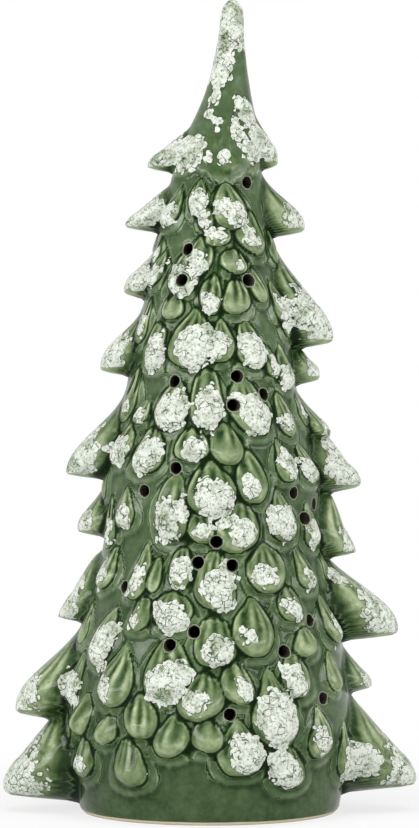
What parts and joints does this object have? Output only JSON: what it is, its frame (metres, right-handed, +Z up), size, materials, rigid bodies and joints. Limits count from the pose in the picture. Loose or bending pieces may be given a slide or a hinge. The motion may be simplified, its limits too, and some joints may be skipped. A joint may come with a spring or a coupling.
{
  "type": "lighted christmas tree",
  "caption": "Hollow glazed stoneware tree with overlapping drop-shaped boughs, small light holes, a leaning spire and a battery light unit in its foot.",
  "frame": {"origin": "centre of the foot ring, on the surface that the tree stands on", "axes": "+Z up to the spire, -Y is the front that the picture shows, +X is the side that the spire leans to"},
  "size_m": [0.1628, 0.1204, 0.318],
  "materials": {
    "green_glaze": "gloss",
    "foam": "matte",
    "housing_plastic": "fine texture",
    "black_plastic": "satin",
    "cell_jacket": "gloss",
    "spring_steel": "bright",
    "screw_steel": "bright",
    "board_laminate": "satin",
    "led_lens": "clear",
    "resistor_coat": "satin",
    "red_insulation": "satin"
  },
  "bodies": {
    "root": {"tree_shell": "green_glaze", "seal_ring": "foam", "housing": "housing_plastic", "battery_1": "cell_jacket", "battery_2": "cell_jacket", "battery_3": "cell_jacket", "contact_positive": "spring_steel", "contact_bridge_left": "spring_steel", "contact_bridge_right": "spring_steel", "contact_negative": "spring_steel", "switch_body": "spring_steel", "housing_lid": "housing_plastic", "lid_screw_1": "screw_steel", "lid_screw_2": "screw_steel", "circuit_board": "board_laminate", "board_screw_1": "screw_steel", "board_screw_2": "screw_steel", "led_1": "led_lens", "led_2": "led_lens", "led_3": "led_lens", "resistor": "resistor_coat", "wire_red": "red_insulation", "wire_black": "black_plastic", "wire_switch": "black_plastic"},
    "door": {"battery_door": "housing_plastic"},
    "switch": {"switch_knob": "black_plastic"}
  },
  "joints": [
    {"name": "door_hinge", "type": "hinge", "parent": "root", "child": "door", "pos_m": [-0.0298, 0, 0.0032], "axis": [0, 1, 0], "range_deg": [0, 70]},
    {"name": "switch_slide", "type": "slide", "parent": "root", "child": "switch", "axis": [1, 0, 0], "range_m": [0, 0.004]}
  ]
}
